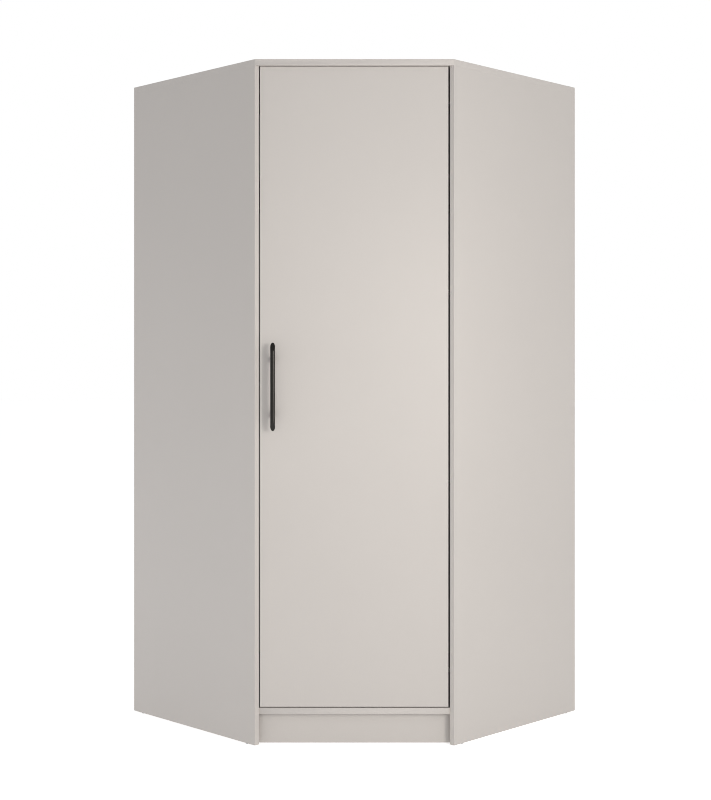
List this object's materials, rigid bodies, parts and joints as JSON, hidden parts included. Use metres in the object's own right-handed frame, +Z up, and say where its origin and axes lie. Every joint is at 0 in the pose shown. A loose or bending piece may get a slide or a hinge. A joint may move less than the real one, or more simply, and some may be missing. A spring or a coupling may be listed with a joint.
{
  "type": "corner wardrobe",
  "caption": "Pentagonal corner wardrobe with one diagonal inset door, bar handle, hat shelf and hanging rail.",
  "frame": {"origin": "floor level, centre of the whole object's box in plan", "axes": "+Z up, +Y from the door towards the room's corner, +X to the right as one faces the door"},
  "size_m": [1.4142, 1.151, 2],
  "materials": {
    "carcass_board": "smooth matt warm grey-beige melamine on particle board",
    "door_board": "smooth matt warm grey-beige melamine on particle board",
    "hardboard": "thin hardboard, pale printed inside, brown fibre outside",
    "black_metal": "satin black anodised",
    "nickel_steel": "nickel plated",
    "dark_nickel_steel": "black nickel plated",
    "zinc_steel": "zinc plated",
    "pale_plastic": "pale grey moulded",
    "dark_plastic": "dark grey moulded"
  },
  "bodies": {
    "carcass": {"top_panel": "carcass_board", "bottom_panel": "carcass_board", "bottom_cam_left_front": "zinc_steel", "bottom_cam_left_rear": "zinc_steel", "bottom_cam_right_front": "zinc_steel", "bottom_cam_right_rear": "zinc_steel", "hat_shelf": "carcass_board", "plinth_front": "carcass_board", "plinth_brace": "carcass_board", "floor_glide_brace_front": "dark_plastic", "floor_glide_brace_rear": "dark_plastic", "side_panel_left": "carcass_board", "top_cam_left_front": "zinc_steel", "top_cam_left_rear": "zinc_steel", "floor_glide_left_front": "dark_plastic", "floor_glide_left_rear": "dark_plastic", "side_panel_right": "carcass_board", "top_cam_right_front": "zinc_steel", "top_cam_right_rear": "zinc_steel", "floor_glide_right_front": "dark_plastic", "floor_glide_right_rear": "dark_plastic", "back_sheet_left_lower": "hardboard", "back_sheet_left_upper": "hardboard", "back_joining_strip_left": "pale_plastic", "corner_stile_left": "carcass_board", "wall_bracket_left": "zinc_steel", "back_sheet_right_lower": "hardboard", "back_sheet_right_upper": "hardboard", "back_joining_strip_right": "pale_plastic", "corner_stile_right": "carcass_board", "wall_bracket_right": "zinc_steel", "hanging_rail": "nickel_steel", "rail_bracket_left": "nickel_steel", "rail_bracket_centre": "nickel_steel", "rail_bracket_right": "nickel_steel", "door_stop_upper": "pale_plastic", "door_stop_lower": "pale_plastic", "hinge_arm_bottom": "dark_nickel_steel", "hinge_plate_bottom": "dark_nickel_steel", "hinge_arm_lower": "dark_nickel_steel", "hinge_plate_lower": "dark_nickel_steel", "hinge_arm_upper": "dark_nickel_steel", "hinge_plate_upper": "dark_nickel_steel", "hinge_arm_top": "dark_nickel_steel", "hinge_plate_top": "dark_nickel_steel"},
    "door": {"door_panel": "door_board", "handle_bar": "black_metal", "handle_post_upper": "black_metal", "handle_post_lower": "black_metal", "handle_screw_upper": "zinc_steel", "handle_screw_lower": "zinc_steel", "hinge_cup_bottom": "dark_nickel_steel", "hinge_pin_bottom": "zinc_steel", "hinge_cup_lower": "dark_nickel_steel", "hinge_pin_lower": "zinc_steel", "hinge_cup_upper": "dark_nickel_steel", "hinge_pin_upper": "zinc_steel", "hinge_cup_top": "dark_nickel_steel", "hinge_pin_top": "zinc_steel"}
  },
  "joints": [
    {"name": "door_swing", "type": "hinge", "parent": "carcass", "child": "door", "pos_m": [0.262, -0.52649, 1.046], "axis": [0, 0, 1], "range_deg": [0, 95]}
  ]
}
